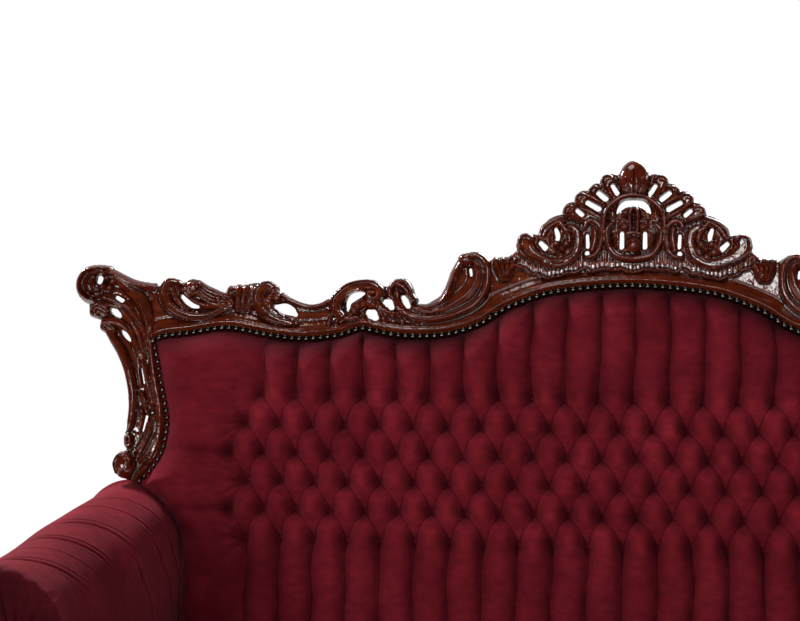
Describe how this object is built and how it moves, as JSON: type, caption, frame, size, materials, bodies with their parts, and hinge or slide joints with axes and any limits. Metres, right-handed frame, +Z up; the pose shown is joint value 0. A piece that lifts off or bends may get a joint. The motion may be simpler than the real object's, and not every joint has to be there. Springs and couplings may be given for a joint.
{
  "type": "baroque sofa",
  "caption": "Upholstered sofa with a carved and pierced show-wood back, deep-buttoned velvet, padded roll arms, cabriole legs and loose lift-off seat cushions.",
  "frame": {"origin": "on the floor, under the middle of the sofa's outline", "axes": "+X to the right as seen from the front, +Y to the back, +Z up"},
  "size_m": [2.0016, 0.8699, 1.2873],
  "materials": {
    "mahogany": "glossy varnish over dark red mahogany",
    "frame_wood": "bare planed beech",
    "plywood": "bare plywood",
    "velvet": "burgundy velvet with a soft nap",
    "spring_steel": "drawn wire",
    "bronze": "antique bronze, domed nails",
    "lining": "black non-woven cloth"
  },
  "bodies": {
    "sofa": {"crest": "mahogany", "top_rail_left": "mahogany", "top_rail_right": "mahogany", "back_post_left": "mahogany", "back_post_right": "mahogany", "back_stile_left": "mahogany", "back_stile_right": "mahogany", "front_seat_rail": "mahogany", "side_seat_rail_left": "mahogany", "side_seat_rail_right": "mahogany", "front_leg_left": "mahogany", "front_leg_right": "mahogany", "front_leg_middle_left": "mahogany", "front_leg_middle_right": "mahogany", "rear_leg_middle_left": "mahogany", "rear_leg_middle_right": "mahogany", "arm_facing_left": "mahogany", "arm_facing_right": "mahogany", "back_seat_rail": "frame_wood", "seat_brace_left": "frame_wood", "seat_brace_right": "frame_wood", "corner_block_rear_left": "frame_wood", "corner_block_rear_right": "frame_wood", "corner_block_front_left": "frame_wood", "corner_block_front_right": "frame_wood", "back_bottom_rail": "frame_wood", "back_tie_rail": "frame_wood", "back_upright_left": "frame_wood", "back_upright_middle": "frame_wood", "back_upright_right": "frame_wood", "arm_frame_left": "frame_wood", "arm_frame_right": "frame_wood", "back_board": "plywood", "back_pad": "velvet", "back_outer_panel": "velvet", "arm_pad_left": "velvet", "arm_pad_right": "velvet", "arm_outer_panel_left": "velvet", "arm_outer_panel_right": "velvet", "seat_deck": "velvet", "seat_spring_1": "spring_steel", "seat_spring_2": "spring_steel", "seat_spring_3": "spring_steel", "seat_spring_4": "spring_steel", "seat_spring_5": "spring_steel", "seat_spring_6": "spring_steel", "seat_spring_7": "spring_steel", "seat_spring_8": "spring_steel", "seat_spring_9": "spring_steel", "back_nail_trim": "bronze", "seat_nail_trim": "bronze", "dust_cover": "lining"},
    "seat_cushion_left": {"seat_cushion_left": "velvet"},
    "seat_cushion_middle": {"seat_cushion_middle": "velvet"},
    "seat_cushion_right": {"seat_cushion_right": "velvet"}
  },
  "joints": [
    {"name": "seat_cushion_left_lift", "type": "slide", "parent": "sofa", "child": "seat_cushion_left", "axis": [0, 0, 1], "range_m": [0, 0.35]},
    {"name": "seat_cushion_middle_lift", "type": "slide", "parent": "sofa", "child": "seat_cushion_middle", "axis": [0, 0, 1], "range_m": [0, 0.35]},
    {"name": "seat_cushion_right_lift", "type": "slide", "parent": "sofa", "child": "seat_cushion_right", "axis": [0, 0, 1], "range_m": [0, 0.35]}
  ]
}
